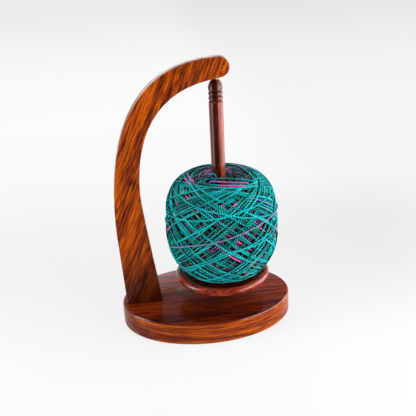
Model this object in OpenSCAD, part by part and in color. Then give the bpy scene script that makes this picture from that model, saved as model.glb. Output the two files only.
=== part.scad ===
// Hanging yarn holder: an oval base carries a curved arm, and a turned spindle with a
// dished disc hangs from a magnet under the arm's nose, so that the yarn turns as it is pulled.
// Millimetres. The origin is the middle of the base's underside, +Z is up, and +X points
// from the arm's foot to its nose.

/* [Base] */
// Length of the oval base
base_length = 200; // [180:1:240]
// Width of the oval base
base_width = 138; // [120:1:170]
// Thickness of the base
base_height = 26; // [22:0.5:34]
// Rounding of the base's upper edge
base_top_round = 2.4; // [1:0.1:5]
// Rounding of the base's lower edge
base_low_round = 1.4; // [0.5:0.1:4]
// Depth of the shallow mortise that the arm stands in
mortise_depth = 4; // [2:0.5:7]

/* [Arm] */
// Height of the arm's highest point above the table
arm_top = 308.3; // [290:0.5:340]
// Thickness of the arm's board
arm_thickness = 15; // [12:0.5:20]
// Distance of the arm's heel behind the middle of the base
heel_back = 94.7; // [88:0.5:97]
// Length of the arm's foot along the base
foot_length = 41.8; // [36:0.5:50]
// How far the outer edge swells out behind the heel
heel_swell = 4.2; // [1:0.1:8]
// Height at which the outer edge swells out most
swell_height = 126; // [100:1:150]
// How far the inner edge draws back behind the front of the foot
waist_draw = 15.5; // [10:0.5:22]
// Height at which the inner edge draws back most
waist_height = 163.5; // [140:1:185]
// Radius of the arm's round nose
nose_radius = 10.7; // [9.5:0.1:14]
// How far the nose's round end lies past the spindle's axis
nose_lead = 4.5; // [3:0.1:6]
// Slope of the flat seat under the nose
nose_slope = 10; // [4:0.5:14]
// Length of the flat seat under the nose
nose_flat = 15; // [14:0.5:18]
// Rounding of the arm's long edges
arm_round = 1.2; // [0.5:0.1:2.5]

/* [Hardware] */
// Diameter of the magnet let into the arm
arm_magnet_d = 10; // [8:0.5:10.5]
// Height of the magnet let into the arm
arm_magnet_h = 4; // [2:0.5:6]
// Diameter of the steel ball that the spindle hangs by
pivot_ball_d = 6; // [5:0.5:7]
// How far the steel ball stands out above the dome
ball_stand = 0.6; // [0.4:0.1:1.2]
// Height of the small magnet under the ball
seat_magnet_h = 3; // [2:0.5:5]
// Shank diameter of the wood screws
screw_d = 4.5; // [3.5:0.5:5]
// Head diameter of the wood screws
screw_head_d = 8.6; // [7.5:0.1:9.5]
// Length of the two screws that hold the arm
arm_screw_length = 50; // [40:1:60]
// Distance between the two screws that hold the arm
arm_screw_spacing = 22; // [18:0.5:24]
// Length of the screw that holds the disc
disc_screw_length = 32; // [25:1:45]

/* [Spindle] */
// Distance of the spindle's axis in front of the middle of the base
spindle_x = 20.7; // [12:0.1:28]
// Diameter of the spindle
spindle_d = 15.5; // [14.5:0.1:18]
// Height of the dome from its widest place to its tip
dome_height = 10.6; // [9:0.1:13]
// Height of the dome's foot from its widest place to the first groove
dome_foot = 3.2; // [2.5:0.1:4]
// Width of each turned bead
bead_width = 5; // [4:0.1:7]
// Depth of the grooves beside the beads
groove_depth = 1.2; // [0.8:0.1:1.6]
// Number of turned beads under the dome
bead_count = 2; // [1:1:3]

/* [Disc] */
// Diameter of the disc that carries the yarn
disc_d = 110; // [100:1:120]
// Free height between the base and the disc
disc_gap = 21; // [16:0.5:26]
// Thickness of the disc's round rim
rim_thickness = 9; // [8:0.5:12]
// Depth of the dish inside the rim
dish_depth = 3.5; // [2.5:0.1:4.5]
// Radius of the dish's level floor
dish_floor_r = 41; // [37:0.5:43]
// How far the underside swells below the rim
belly = 2.3; // [1.5:0.1:4]
// Depth of the socket that the spindle stands in
socket_depth = 2; // [1:0.1:2.4]

/* [Yarn] */
// Diameter of the yarn
yarn_d = 2.3; // [1.8:0.1:2.6]
// Greatest diameter of the ball of yarn
ball_d = 131; // [120:1:136]
// Height of the ball's widest place above the dish
ball_widest = 65; // [55:1:75]
// Height of the ball's crest above the dish
ball_crest = 123.2; // [110:0.5:130]
// Radius of the ball's crest
crest_r = 26; // [24:0.5:30]
// Radius of the ball's underside
ball_foot_r = 40; // [38:0.5:42]
// Radius of the hole through the ball
ball_hole_r = 12; // [10.5:0.5:14]
// Turns of the outer layer about the spindle
wind_turns = 24; // [20:1:24]
// Up and down passes of the outer layer
wind_passes = 13; // [13:2:13]

/* [Hidden] */
$fn = 96;

// Clearances
glue_gap = 0.15;      // between the arm's foot and its mortise
bore_gap = 0.1;       // round a screw or a magnet in the wood
pivot_gap = 0.05;     // round the ball and the small magnet
rest_gap = 0.3;       // between yarn and wood, and between yarn and yarn

// Heights and places that follow from the sizes
eps = 0.01;
foot_z = base_height - mortise_depth;
heel_x = -heel_back;
toe_x = heel_x + foot_length;
foot_mid_x = (heel_x + toe_x) / 2;
nose_x = spindle_x + nose_lead;
nose_z = arm_top - nose_radius;
disc_low = base_height + disc_gap;
rim_low = disc_low + belly;
rim_top = rim_low + rim_thickness;
dish_z = rim_top - dish_depth;
socket_z = dish_z - socket_depth;
disc_r = disc_d / 2;
spindle_r = spindle_d / 2;
pivot_r = pivot_ball_d / 2;
ball_r = ball_d / 2;
ball_low = dish_z + rest_gap;

// The flat seat under the nose: it touches the nose's round end and rises at nose_slope
seat_dir = [cos(nose_slope), sin(nose_slope)];
seat_down = [sin(nose_slope), -cos(nose_slope)];
seat_end = [nose_x, nose_z] + nose_radius * seat_down;
seat_start = seat_end - nose_flat * seat_dir;

// The ball touches the seat where its centre lies on the spindle's axis
ball_reach = pivot_r + pivot_gap;
contact_run = (spindle_x - ball_reach * seat_down[0] - seat_end[0]) / seat_dir[0];
contact = seat_end + contact_run * seat_dir;
pivot_z = contact[1] + ball_reach * seat_down[1];
dome_tip = pivot_z + pivot_r - ball_stand;
first_groove = dome_tip - dome_height - dome_foot;
shank_top = first_groove - bead_count * bead_width - groove_depth;

// Curve handles as shares of the height or reach that they bend over
low_pull = 1 / 3;
swell_pull = 0.15;
back_pull = 0.57;
crown_pull = 0.757;
waist_pull = 0.15;
inner_pull = 0.554;
throat_pull = 0.7;
heel_lean = 0.03;
toe_lean = 0.11;

// Steps along the curves
curve_steps = 14;
round_steps = 3;
nose_steps = 13;
base_sides = 96;

// The screws' shape
head_angle_h = (screw_head_d - screw_d) / 2;
head_edge = 0.4;
screw_tip = 6;
screw_recess = 1;
disc_screw_recess = 0.6;

// The winding: two layers of one strand, so that a rising pass lies over a falling one
layer_step = yarn_d + 0.7;
rings_per_pass = 44;
strand_sides = 6;
wind_low = 0.04;
wind_high = 0.97;
wind_sharp = 0.5;
chord_sag = ball_r * (1 - cos(180 * wind_turns / wind_passes / rings_per_pass));
core_depth = yarn_d + layer_step + chord_sag + rest_gap;
core_plug_r = ball_foot_r - core_depth;
core_hub = 9;

wood = [0.50, 0.22, 0.10];
wood_dark = [0.40, 0.16, 0.09];
steel = [0.75, 0.75, 0.77];
nickel = [0.82, 0.82, 0.80];
yarn = [0.05, 0.60, 0.56];
yarn_inner = [0.42, 0.33, 0.55];

// A point on a cubic curve with four control points
function cubic(p, t) =
    pow(1 - t, 3) * p[0] + 3 * pow(1 - t, 2) * t * p[1]
    + 3 * (1 - t) * t * t * p[2] + pow(t, 3) * p[3];

// Points along a cubic curve, without its last one
function curve(p, steps = curve_steps) = [for (i = [0 : steps - 1]) cubic(p, i / steps)];

// The direction of a level or slanted run from one point to the next
function unit(v) = v / norm(v);

// A closed outline drawn in by d, each corner along its mitre
function drawn_in(pts, d) = [
    for (i = [0 : len(pts) - 1])
        let (before = unit(pts[i] - pts[(i + len(pts) - 1) % len(pts)]),
            after = unit(pts[(i + 1) % len(pts)] - pts[i]),
            n1 = [-before[1], before[0]],
            n2 = [-after[1], after[0]])
        pts[i] + d * (n1 + n2) / (1 + n1 * n2)
];

// Triangles across the ring that starts at a point's number, from one half to the other
function cap(first, sides, turned) = [
    for (j = [0 : sides / 2 - 2], half = [0, 1])
        let (near = first + j, far = first + sides - 1 - j,
            t = half == 0 ? [near, near + 1, far - 1] : [near, far - 1, far])
        turned ? [t[2], t[1], t[0]] : t
];

// Triangles between rings of equal length, closed at both ends
function loft_faces(rings, sides) = concat(
    cap(0, sides, false),
    [for (j = [0 : rings - 2], k = [0 : sides - 1])
        [j * sides + k, (j + 1) * sides + k, (j + 1) * sides + (k + 1) % sides]],
    [for (j = [0 : rings - 2], k = [0 : sides - 1])
        [j * sides + k, (j + 1) * sides + (k + 1) % sides, j * sides + (k + 1) % sides]],
    cap((rings - 1) * sides, sides, true)
);

// How far an edge of radius r has drawn in at height h below its face
function edge_draw(r, a) = r * (1 - sin(a));
function edge_drop(r, a) = r * (1 - cos(a));

// One turn of the base's oval, drawn in by d, at height z
function oval(d, z) = [
    for (i = [0 : base_sides - 1])
        let (a = 360 * i / base_sides,
            half = [base_length / 2, base_width / 2],
            normal = unit([half[1] * cos(a), half[0] * sin(a)]))
        [half[0] * cos(a) - d * normal[0], half[1] * sin(a) - d * normal[1], z]
];

function base_rings() = concat(
    [for (i = [0 : round_steps])
        let (a = 90 * i / round_steps)
        oval(edge_draw(base_low_round, a), edge_drop(base_low_round, a))],
    [for (i = [round_steps : -1 : 0])
        let (a = 90 * i / round_steps)
        oval(edge_draw(base_top_round, a), base_height - edge_drop(base_top_round, a))]
);

// Points on the nose's round end, from the flat seat (0) to the arm's highest point (13)
function nose_point(i) =
    let (a = nose_slope - 90 + i * (180 - nose_slope) / nose_steps)
    [nose_x + nose_radius * cos(a), nose_z + nose_radius * sin(a)];

// The arm's inner edge, from the toe up to the tip of the nose
function inner_edge() =
    let (waist = [toe_x - waist_draw, waist_height],
        rise = waist_height - base_height,
        throat = seat_start - waist)
    concat(
        [[toe_x, foot_z]],
        curve([[toe_x, base_height],
            [toe_x - toe_lean * low_pull * rise, base_height + low_pull * rise],
            waist - [0, waist_pull * rise],
            waist]),
        curve([waist,
            waist + [0, inner_pull * throat[1]],
            seat_start - throat_pull * throat[0] * seat_dir,
            seat_start]),
        [seat_start],
        [for (i = [0 : (nose_steps - 1) / 2]) nose_point(i)]
    );

// The arm's outer edge, from the heel up to the tip of the nose, in as many points
function outer_edge() =
    let (swell = [heel_x - heel_swell, swell_height],
        rise = swell_height - base_height,
        crown = [nose_x, arm_top] - swell)
    concat(
        [[heel_x, foot_z]],
        curve([[heel_x, base_height],
            [heel_x - heel_lean * low_pull * rise, base_height + low_pull * rise],
            swell - [0, swell_pull * rise],
            swell]),
        curve([swell,
            swell + [0, back_pull * crown[1]],
            [nose_x - crown_pull * crown[0], arm_top],
            [nose_x, arm_top]], curve_steps + 1),
        [for (i = [nose_steps : -1 : (nose_steps + 1) / 2]) nose_point(i)]
    );

// The whole side view: up the inner edge and down the outer one
function arm_outline() =
    let (outer = outer_edge())
    concat(inner_edge(), [for (i = [len(outer) - 1 : -1 : 0]) outer[i]]);

function arm_rings() =
    let (outline = arm_outline(), half = arm_thickness / 2)
    concat(
        [for (i = [0 : round_steps])
            let (a = 90 * i / round_steps, y = half - edge_drop(arm_round, a))
            [for (p = drawn_in(outline, edge_draw(arm_round, a))) [p[0], y, p[1]]]],
        [for (i = [round_steps : -1 : 0])
            let (a = 90 * i / round_steps, y = -half + edge_drop(arm_round, a))
            [for (p = drawn_in(outline, edge_draw(arm_round, a))) [p[0], y, p[1]]]]
    );

module loft(rings) {
    sides = len(rings[0]);
    polyhedron(points = [for (r = rings, p = r) p], faces = loft_faces(len(rings), sides));
}

module on_arm_screws() {
    for (side = [-1, 1])
        translate([foot_mid_x + side * arm_screw_spacing / 2, 0, 0]) children();
}

module at_spindle(z) {
    translate([spindle_x, 0, z]) children();
}

// A countersunk wood screw that points up, with its head's flat face at height 0
module wood_screw(length) {
    rotate_extrude()
        polygon([[0, 0], [screw_head_d / 2, 0], [screw_head_d / 2, head_edge],
            [screw_d / 2, head_edge + head_angle_h], [screw_d / 2, length - screw_tip],
            [0.4, length], [0, length]]);
}

// The room that such a screw needs, with its head sunk below the face
module screw_hole(depth, recess) {
    translate([0, 0, -eps])
        cylinder(d = screw_d + 2 * bore_gap, h = depth + eps);
    translate([0, 0, -eps])
        cylinder(d = screw_head_d + 2 * bore_gap, h = recess + head_edge + eps);
    translate([0, 0, recess + head_edge - eps])
        cylinder(d1 = screw_head_d + 2 * bore_gap, d2 = screw_d + 2 * bore_gap, h = head_angle_h);
}

module base() {
    color(wood)
        difference() {
            loft(base_rings());
            translate([heel_x - glue_gap, -arm_thickness / 2 - glue_gap, foot_z])
                cube([foot_length + 2 * glue_gap, arm_thickness + 2 * glue_gap,
                    mortise_depth + eps]);
            on_arm_screws() screw_hole(base_height, screw_recess);
        }
}

module arm() {
    color(wood)
        difference() {
            loft(arm_rings());
            on_arm_screws()
                translate([0, 0, foot_z - eps])
                    cylinder(d = screw_d + 2 * bore_gap,
                        h = screw_recess + arm_screw_length + bore_gap - foot_z);
            translate([contact[0], 0, contact[1]])
                rotate([0, -nose_slope, 0])
                    translate([0, 0, -1])
                        cylinder(d = arm_magnet_d + 2 * bore_gap, h = arm_magnet_h + bore_gap + 1);
        }
}

module arm_screws() {
    color(steel)
        on_arm_screws() translate([0, 0, screw_recess]) wood_screw(arm_screw_length);
}

module arm_magnet() {
    color(nickel)
        translate([contact[0], 0, contact[1]])
            rotate([0, -nose_slope, 0])
                cylinder(d = arm_magnet_d, h = arm_magnet_h);
}

module pivot_ball() {
    color(steel)
        at_spindle(pivot_z) sphere(r = pivot_r);
}

module seat_magnet() {
    color(nickel)
        at_spindle(pivot_z - pivot_r - pivot_gap - seat_magnet_h)
            cylinder(r = pivot_r, h = seat_magnet_h);
}

// The spindle's half outline: shank, grooves and beads, and the dome
function spindle_half() =
    let (waist_r = spindle_r - groove_depth, bead_steps = 10, dome_steps = 12)
    concat(
        [[0, socket_z], [spindle_r - 0.4, socket_z], [spindle_r, socket_z + 0.4],
            [spindle_r, shank_top]],
        [for (b = [bead_count : -1 : 1], i = [0 : bead_steps - 1])
            let (t = i / bead_steps)
            [waist_r + groove_depth * pow(sin(180 * t), 0.45),
                first_groove - (b - t) * bead_width]],
        [for (i = [0 : 6])
            let (a = 90 * i / 6)
            [waist_r + groove_depth * sin(a), first_groove + dome_foot * (1 - cos(a))]],
        [for (i = [1 : dome_steps])
            let (a = 90 * i / dome_steps)
            [spindle_r * cos(a), dome_tip - dome_height * (1 - sin(a))]]
    );

module spindle() {
    bore_low = pivot_z - pivot_r - 2 * pivot_gap - seat_magnet_h;
    color(wood_dark)
        difference() {
            at_spindle(0) rotate_extrude() polygon(spindle_half());
            at_spindle(bore_low)
                cylinder(r = pivot_r + pivot_gap, h = dome_tip - bore_low + 1);
            at_spindle(socket_z - eps)
                cylinder(d = screw_d + 2 * bore_gap,
                    h = disc_low + disc_screw_recess + disc_screw_length + bore_gap - socket_z);
        }
}

// The disc's half outline: belly, round rim, and the dish
function disc_half() =
    let (rim_r = disc_r - rim_thickness / 2, rim_mid = rim_low + rim_thickness / 2,
        belly_r = 15, rim_steps = 14)
    concat(
        [[0, disc_low]],
        curve([[belly_r, disc_low], [30, disc_low], [40, rim_low], [rim_r, rim_low]], 10),
        [for (i = [0 : rim_steps])
            let (a = -90 + 180 * i / rim_steps)
            [rim_r + rim_thickness / 2 * cos(a), rim_mid + rim_thickness / 2 * sin(a)]],
        [for (i = [1 : 10]) cubic([[rim_r, rim_top], [rim_r - 4, rim_top],
            [dish_floor_r + 5, dish_z], [dish_floor_r, dish_z]], i / 10)],
        [[0, dish_z]]
    );

module disc() {
    color(wood_dark)
        difference() {
            at_spindle(0) rotate_extrude() polygon(disc_half());
            at_spindle(socket_z) cylinder(r = spindle_r + bore_gap, h = socket_depth + eps);
            at_spindle(disc_low) screw_hole(socket_z - disc_low + eps, disc_screw_recess);
        }
}

module disc_screw() {
    color(steel)
        at_spindle(disc_low + disc_screw_recess) wood_screw(disc_screw_length);
}

// The ball's outline, from its underside (0) over its widest place (0.5) to its crest (1)
function ball_curve() = [
    [[ball_foot_r, ball_low + 1.1], [ball_foot_r + 18, ball_low + 5],
        [ball_r, dish_z + ball_widest - 30], [ball_r, dish_z + ball_widest]],
    [[ball_r, dish_z + ball_widest], [ball_r, dish_z + ball_widest + 38],
        [crest_r + 24, dish_z + ball_crest], [crest_r, dish_z + ball_crest]]
];
function ball_point(v) = v < 0.5 ? cubic(ball_curve()[0], 2 * v) : cubic(ball_curve()[1], 2 * v - 1);
function ball_normal(v) =
    let (d = unit(ball_point(v + 0.002) - ball_point(v - 0.002)))
    [d[1], -d[0]];
function below_skin(v, depth) = ball_point(v) - depth * ball_normal(v);

module yarn_core() {
    crest = below_skin(0.998, core_depth);
    color(yarn_inner)
        at_spindle(0)
            rotate_extrude()
                polygon(concat(
                    [[ball_hole_r, ball_low], [core_plug_r, ball_low]],
                    [for (i = [0 : 28]) below_skin(0.002 + 0.996 * i / 28, core_depth)],
                    [for (i = [1 : 8])
                        let (a = 90 * i / 8)
                        [ball_hole_r + (crest[0] - ball_hole_r) * cos(a),
                            crest[1] - core_hub * (1 - cos(a) * cos(a)) * sin(a)]]
                ));
}

// The strand's path: one unbroken line of passes that rise and fall over the ball.
// Its rings lie evenly on both sides of every turning place, where it changes layer.
function wave(a) = (1 - wind_sharp) * sin(a) + wind_sharp * asin(0.999 * sin(a)) / 90;
function strand_point(k) =
    let (a = -90 + (k + 0.5) * 360 / rings_per_pass,
        share = (a + 90) / 360,
        rising = share - floor(share) < 0.5,
        v = (wind_low + wind_high) / 2 + (wind_high - wind_low) / 2 * wave(a),
        p = below_skin(v, yarn_d / 2 + (rising ? 0 : layer_step)),
        turn = share * 360 * wind_turns / wind_passes)
    [p[0] * cos(turn), p[0] * sin(turn), p[1]];

function strand_path() =
    let (last = wind_passes * rings_per_pass - 1,
        first_run = unit(strand_point(0) - strand_point(1)),
        last_run = unit(strand_point(last) - strand_point(last - 1)))
    concat([strand_point(0) + yarn_d * first_run],
        [for (k = [0 : last]) strand_point(k)],
        [strand_point(last) + yarn_d * last_run]);

// Rings square to the path, each turned to face away from the spindle's axis
function tube_rings(path, r, sides) = [
    for (k = [0 : len(path) - 1])
        let (run = unit(path[min(k + 1, len(path) - 1)] - path[max(k - 1, 0)]),
            side = unit(cross(run, [path[k][0], path[k][1], 0.001])),
            out = cross(side, run))
        [for (j = [0 : sides - 1])
            let (a = 360 * j / sides)
            path[k] + r * (cos(a) * out + sin(a) * side)]
];

// The strand's least gap to itself: one pass, point by point, against every other run
function strand_gap() =
    let (fine = 5, own = 4 * fine,
        total = wind_passes * rings_per_pass - 1,
        dots = [for (k = [0 : total - 1], i = [0 : fine - 1])
            strand_point(k) + i / fine * (strand_point(k + 1) - strand_point(k))],
        from = 3 * rings_per_pass * fine)
    min([for (k = [from : from + rings_per_pass * fine - 1])
        min([for (m = [0 : len(dots) - 1]) if (abs(m - k) > own) norm(dots[m] - dots[k])])]) - yarn_d;

module yarn_winding() {
    echo(strand_least_gap = strand_gap());
    color(yarn)
        at_spindle(0) loft(tube_rings(strand_path(), yarn_d / 2, strand_sides));
}

base();
arm();
arm_screws();
arm_magnet();
pivot_ball();
seat_magnet();
spindle();
disc();
disc_screw();
yarn_core();
yarn_winding();
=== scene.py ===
# %% [markdown]
# # A hanging yarn holder in rosewood
# An oval base carries a curved arm. A turned spindle with a dished disc hangs from a magnet
# under the arm's nose, and a ball of yarn stands on the disc and turns as its yarn is pulled.
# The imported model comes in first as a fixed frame: every piece below is placed by it.

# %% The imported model
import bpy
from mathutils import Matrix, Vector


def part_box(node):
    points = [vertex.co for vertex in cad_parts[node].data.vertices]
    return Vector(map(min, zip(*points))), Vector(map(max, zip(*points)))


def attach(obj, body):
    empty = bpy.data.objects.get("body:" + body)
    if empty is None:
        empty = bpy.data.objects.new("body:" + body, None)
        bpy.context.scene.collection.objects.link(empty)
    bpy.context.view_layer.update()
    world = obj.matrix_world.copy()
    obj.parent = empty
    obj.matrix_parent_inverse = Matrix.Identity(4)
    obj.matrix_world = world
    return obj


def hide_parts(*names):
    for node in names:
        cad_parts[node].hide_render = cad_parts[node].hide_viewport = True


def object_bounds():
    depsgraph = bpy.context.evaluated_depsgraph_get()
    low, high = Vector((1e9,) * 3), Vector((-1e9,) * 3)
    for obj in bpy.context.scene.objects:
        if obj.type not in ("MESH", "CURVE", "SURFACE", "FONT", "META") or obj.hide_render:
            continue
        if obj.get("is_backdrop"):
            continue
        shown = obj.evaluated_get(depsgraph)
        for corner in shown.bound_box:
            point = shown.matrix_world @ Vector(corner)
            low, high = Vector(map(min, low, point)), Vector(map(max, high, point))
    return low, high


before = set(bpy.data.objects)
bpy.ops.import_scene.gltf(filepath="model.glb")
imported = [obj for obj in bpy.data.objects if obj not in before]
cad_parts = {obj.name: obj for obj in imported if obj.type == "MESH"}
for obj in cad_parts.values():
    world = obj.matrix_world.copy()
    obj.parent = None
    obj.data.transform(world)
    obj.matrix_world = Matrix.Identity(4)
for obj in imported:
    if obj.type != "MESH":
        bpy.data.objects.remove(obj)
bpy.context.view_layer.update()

# %% The modules that the scene uses
import math

import bpy
import numpy as np
from mathutils import Matrix, Vector

MM = 0.001

# %% [markdown]
# The camera stands a little left of the holder and looks down on it, as the photograph was
# taken. Its turn is built from three directions: back towards the camera, right, and up. The
# photograph is also rolled by a few degrees, so right and up are turned about the view's line.

# %% The camera
camera_at = Vector((-0.0761, -0.7057, 0.4454))
camera_yaw = math.radians(-6.7155)
camera_pitch = math.radians(23.4842)
camera_roll = math.radians(-2.6704)
camera_lens = 58.72

back = Vector((math.sin(camera_yaw) * math.cos(camera_pitch),
               -math.cos(camera_yaw) * math.cos(camera_pitch), math.sin(camera_pitch)))
level_right = (-back).cross(Vector((0, 0, 1))).normalized()
level_up = level_right.cross(-back)
right = math.cos(camera_roll) * level_right + math.sin(camera_roll) * level_up
up = math.cos(camera_roll) * level_up - math.sin(camera_roll) * level_right


def linked(name, data):
    """A new object in the scene with the given data."""
    made = bpy.data.objects.new(name, data)
    bpy.context.scene.collection.objects.link(made)
    return made


camera_data = bpy.data.cameras.new("camera")
camera_data.lens = camera_lens
camera = linked("camera", camera_data)
turned = Matrix((right, up, back)).transposed().to_4x4()
camera.matrix_world = Matrix.Translation(camera_at) @ turned
bpy.context.scene.camera = camera
bpy.context.scene.view_settings.view_transform = "Standard"

# %% [markdown]
# Some marks are known only from the photograph: the knots in the arm, and a few strands of
# yarn. Each is given as a pixel. The camera's line through the pixel is followed until it
# meets the surface that carries the mark, so the mark has its real place from every side.

# %% The camera's line through a pixel
image_size = 416
focal_pixels = camera_lens / camera_data.sensor_width * image_size


def sight(pixel):
    """The direction in which the camera sees a pixel, one unit deep."""
    across = (pixel[0] - image_size / 2) / focal_pixels
    down = (pixel[1] - image_size / 2) / focal_pixels
    return np.array(across * right - down * up - back)


def seen_at(pixel, axis, level):
    """The point seen at a pixel on the plane where one coordinate has the given value."""
    line = sight(pixel)
    return np.array(camera_at) + line * (level - camera_at[axis]) / line[axis]


# %% [markdown]
# A material is a tree of nodes. Most of the work is placing a node, setting it and feeding its
# sockets, so one helper does that, and the others are short ways to call it. A socket is fed by
# another node's socket or by a number.

# %% Helpers for nodes
def feed(tree, socket, value):
    """Links a socket to another node's, or gives it a plain value."""
    if isinstance(value, bpy.types.NodeSocket):
        tree.links.new(value, socket)
    else:
        socket.default_value = value


def put(tree, kind, settings=None, inputs=None):
    """A new node with its settings made and its sockets fed."""
    made = tree.nodes.new(kind)
    for key, value in (settings or {}).items():
        setattr(made, key, value)
    for key, value in (inputs or {}).items():
        feed(tree, made.inputs[key], value)
    return made


def mixed(tree, share, first, second):
    """A mix of two colours."""
    inputs = {0: share, 6: first, 7: second}
    return put(tree, "ShaderNodeMix", {"data_type": "RGBA"}, inputs).outputs[2]


def between(tree, share, first, second):
    """A value between two others."""
    inputs = {0: share, 2: first, 3: second}
    return put(tree, "ShaderNodeMix", {"data_type": "FLOAT"}, inputs).outputs[0]


def ranged(tree, value, low, high, to_low=0.0, to_high=1.0):
    """A value carried smoothly from one range to another."""
    inputs = {"Value": value, "From Min": low, "From Max": high,
              "To Min": to_low, "To Max": to_high}
    made = put(tree, "ShaderNodeMapRange", {"interpolation_type": "SMOOTHSTEP"}, inputs)
    return made.outputs["Result"]


def worked(tree, operation, first, second=0.0):
    """One sum on two values."""
    return put(tree, "ShaderNodeMath", {"operation": operation}, {0: first, 1: second}).outputs[0]


def noise(tree, vector, scale, detail=2.0, roughness=0.5, distortion=0.0):
    """A noise over the surface, as a value."""
    inputs = {"Vector": vector, "Scale": scale, "Detail": detail,
              "Roughness": roughness, "Distortion": distortion}
    return put(tree, "ShaderNodeTexNoise", None, inputs).outputs[0]


def colour(red, green, blue):
    """A colour as a screen shows it, from 0 to 255, made linear for a node."""
    screen = (c / 255 for c in (red, green, blue))
    linear = [c / 12.92 if c <= 0.04045 else ((c + 0.055) / 1.055) ** 2.4 for c in screen]
    return (*linear, 1.0)


def new_material(name):
    """A new material, its tree of nodes and its shader."""
    material = bpy.data.materials.new(name)
    material.use_nodes = True
    return material, material.node_tree, material.node_tree.nodes["Principled BSDF"]


def bumped(tree, shader, height, strength, distance):
    """Gives a shader's surface fine relief."""
    inputs = {"Height": height, "Strength": strength, "Distance": distance}
    feed(tree, shader.inputs["Normal"], put(tree, "ShaderNodeBump", None, inputs).outputs[0])


def socketed(name, inputs, outputs):
    """An empty shader group with named sockets, and its two end nodes."""
    group = bpy.data.node_groups.new(name, "ShaderNodeTree")
    for way, sockets in (("INPUT", inputs), ("OUTPUT", outputs)):
        for socket, kind in sockets.items():
            group.interface.new_socket(socket, in_out=way, socket_type="NodeSocket" + kind)
    return group, group.nodes.new("NodeGroupInput"), group.nodes.new("NodeGroupOutput")


# %% [markdown]
# The photograph has a white sweep behind the holder and a dark room in front of it. So what the
# varnish reflects is white low behind the holder, dimmer higher up, and nearly black towards
# the camera. The arm's upper edge then turns pale, and its front stays deep in colour. Light
# that is scattered by the wood and the yarn comes evenly from all sides, as a plain fill.

# %% The room's light
room_white = 0.90
room_low = 0.93
room_high = 0.20
room_front = 0.03
room_fill = 0.31

world = bpy.data.worlds.new("room")
world.use_nodes = True
bpy.context.scene.world = world
tree = world.node_tree
heading = put(tree, "ShaderNodeTexCoord")
parts = put(tree, "ShaderNodeSeparateXYZ", None, {0: heading.outputs["Generated"]})
sweep = ranged(tree, parts.outputs["Z"], 0.14, 0.40, room_low, room_high)
behind = ranged(tree, parts.outputs["Y"], -0.20, 0.30)
level = between(tree, behind, room_front, sweep)
rays = put(tree, "ShaderNodeLightPath")
seen = worked(tree, "MAXIMUM", rays.outputs["Is Camera Ray"], rays.outputs["Is Transmission Ray"])
unseen = between(tree, rays.outputs["Is Diffuse Ray"], level, room_fill)
sky = tree.nodes["Background"]
sky.inputs["Color"].default_value = (1.0, 0.985, 0.99, 1.0)
feed(tree, sky.inputs["Strength"], between(tree, seen, unseen, room_white))


# %% [markdown]
# Soft boxes light the holder: a wide one on the right, a narrow one on the left and one
# overhead. The camera looks down, so what an upright surface mirrors lies low. So two low
# boxes stand on the floor beside the holder. The wide one on the right draws the broad pale
# band down the spindle, and the narrow one on the left draws its thin line. A broad box far
# behind is the brightest part of the sweep: the arm's upper edge mirrors it.

# %% The soft boxes
def soft_box(name, place, size, watts, aim_z=0.14):
    """An area lamp of the given width and height that looks at the holder."""
    data = bpy.data.lights.new(name, "AREA")
    data.shape = "RECTANGLE"
    data.size, data.size_y = size
    data.energy = watts
    lamp = linked(name, data)
    line = Vector((0.0, 0.0, aim_z)) - Vector(place)
    aim = line.to_track_quat("-Z", "Y").to_matrix().to_4x4()
    lamp.matrix_world = Matrix.Translation(Vector(place)) @ aim
    lamp.visible_camera = False


soft_box("box_right", (0.92, -0.30, 0.48), (1.60, 0.80), 9.5)
soft_box("box_left", (-0.95, -0.10, 0.42), (0.36, 0.80), 4.2)
soft_box("box_top", (-0.20, 0.05, 1.30), (0.80, 0.70), 3.8)
soft_box("box_low_right", (0.48, -0.14, 0.15), (0.90, 0.28), 2.4, 0.15)
soft_box("box_low_left", (-0.44, -0.12, 0.15), (0.20, 0.28), 0.45, 0.15)
soft_box("box_behind", (-0.90, 3.00, 0.97), (2.80, 1.30), 5.2, 0.25)

# %% [markdown]
# The floor is a wide pale sheet. Part of its brightness is given to camera rays alone, so that
# it looks white while the lamps stay low, and the rest still takes the holder's faint shadow.
# It is a little greyer in a band behind the holder, on the right and far away: painted shade of the
# lamps' falloff.
# Glossy rays see its front darker, because that lies in the dark part of the room which the
# varnish mirrors. From below it can be seen through. Rays that reach it from a few millimetres
# away pass through it as well, so that light gets to the underside of what stands on it.

# %% The floor
floor_share = 0.80
floor_mirrored = 0.08
floor_drop = 0.2 * MM
underside_reach = 4.0 * MM


def layered(tree, share, first, second):
    """A mix of two shaders."""
    return put(tree, "ShaderNodeMixShader", None, {0: share, 1: first, 2: second}).outputs[0]


bpy.ops.object.select_all(action="DESELECT")
bpy.ops.mesh.primitive_plane_add(size=16, location=(0, 3, -floor_drop))
bpy.ops.object.transform_apply(location=True)
floor = bpy.context.active_object
floor.name = "floor"
paper, tree, sheet = new_material("paper")
sheet.inputs["Base Color"].default_value = colour(240, 238, 240)
sheet.inputs["Roughness"].default_value = 0.9
sheet.inputs["Specular IOR Level"].default_value = 0.1
place = put(tree, "ShaderNodeTexCoord").outputs["Object"]
parts = put(tree, "ShaderNodeSeparateXYZ", None, {0: place})
reach = parts.outputs["Y"]
paler = mixed(tree, ranged(tree, reach, 0.1, 0.6), colour(252, 251, 251), colour(255, 253, 254))
# Painted shade: the lamps' falloff, far away, in a band behind the holder and on the right.
farther = ranged(tree, reach, 1.0, 3.0, 1.0, 0.88)
dip_share = ranged(tree, parts.outputs["X"], -0.10, 0.30, 0.94, 0.84)
from_dip = worked(tree, "ABSOLUTE", worked(tree, "SUBTRACT", reach, 0.16))
dipped = ranged(tree, from_dip, 0.02, 0.30, dip_share, 1.0)
on_right = ranged(tree, parts.outputs["X"], 0.10, 0.36, 1.0, 0.94)
level = worked(tree, "MULTIPLY", worked(tree, "MULTIPLY", farther, dipped), on_right)
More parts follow.
